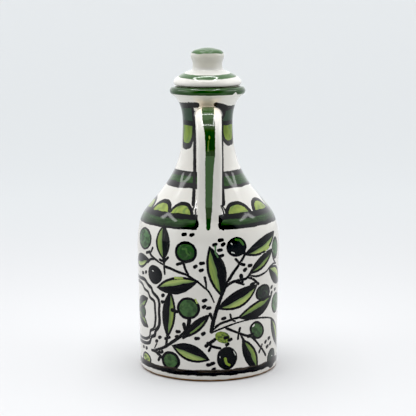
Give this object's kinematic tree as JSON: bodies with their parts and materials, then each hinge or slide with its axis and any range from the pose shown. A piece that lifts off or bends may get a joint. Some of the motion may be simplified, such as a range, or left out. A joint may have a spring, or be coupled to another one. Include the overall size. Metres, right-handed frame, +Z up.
{
  "type": "olive oil jug",
  "caption": "Glazed ceramic oil jug with a round body, sloping shoulder, slim neck, beaded rim and strap handle, shut by a knobbed lid that rests on the rim; painted with olive sprigs.",
  "frame": {"origin": "middle of the flat base, where the jug stands", "axes": "+Z up along the turned axis, handle towards -Y, so that the picture's view looks along +Y"},
  "size_m": [0.092, 0.0935, 0.2072],
  "materials": {
    "jug_glaze": "glossy clear glaze over a warm white ground with brushed olive sprigs, bands and an unglazed clay foot",
    "lid_glaze": "glossy clear glaze over a warm white ground with a green ring and a green knob top"
  },
  "bodies": {
    "root": {"jug": "jug_glaze", "lid": "lid_glaze"}
  },
  "joints": []
}
